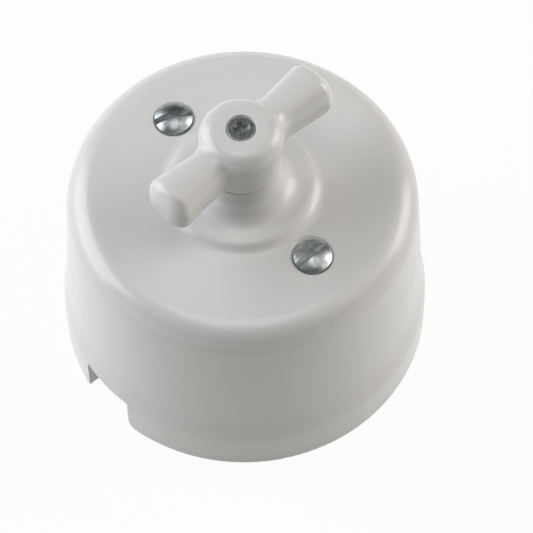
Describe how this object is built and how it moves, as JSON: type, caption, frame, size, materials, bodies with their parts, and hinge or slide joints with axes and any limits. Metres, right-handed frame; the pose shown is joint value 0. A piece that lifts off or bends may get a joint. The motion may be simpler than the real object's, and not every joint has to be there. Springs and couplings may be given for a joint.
{
  "type": "porcelain rotary switch",
  "caption": "Surface-mounted rotary light switch: round white porcelain cover with a stepped boss, slotted cover screws, a cable notch and a two-armed handle that turns in quarter steps.",
  "frame": {"origin": "on the spindle's axis, in the plane of the wall", "axes": "+Z out of the wall along the spindle, X through the two cover screws, the cable notch at -Y"},
  "size_m": [0.065, 0.065, 0.0598],
  "materials": {
    "porcelain": "satin white glaze",
    "zinc_steel": "bright zinc plate",
    "dull_zinc_steel": "dull zinc plate",
    "plate_steel": "plain steel",
    "spring_steel": "blued spring steel",
    "brass": "plain brass",
    "rotor_moulding": "dark moulded insulator"
  },
  "bodies": {
    "housing": {"cover": "porcelain", "cover_screws": "zinc_steel", "base": "porcelain", "lower_pillar_left": "brass", "lower_pillar_right": "brass", "upper_pillar_left": "brass", "upper_pillar_right": "brass", "pillar_screws": "zinc_steel", "base_bush": "brass", "bridge_plate": "plate_steel", "bridge_bush": "brass", "thrust_washer": "plate_steel", "traveller_jaw_left": "brass", "traveller_jaw_right": "brass", "common_wiper": "brass", "terminal_block_left": "brass", "terminal_block_right": "brass", "terminal_block_common": "brass", "terminal_screws": "zinc_steel", "fixing_screws": "zinc_steel", "detent_spring": "spring_steel", "spring_rivets": "plate_steel"},
    "rotor": {"spindle": "plate_steel", "rotor_lower": "rotor_moulding", "contact_blade": "brass", "rotor_upper": "rotor_moulding", "rotor_rivets": "brass", "detent_star": "plate_steel", "spacer_sleeve": "brass", "handle": "porcelain", "handle_screw": "dull_zinc_steel"}
  },
  "joints": [
    {"name": "handle_turn", "type": "hinge", "parent": "housing", "child": "rotor", "pos_m": [0, 0, 0], "axis": [0, 0, 1], "continuous": true, "deforming": ["detent_spring"]}
  ]
}
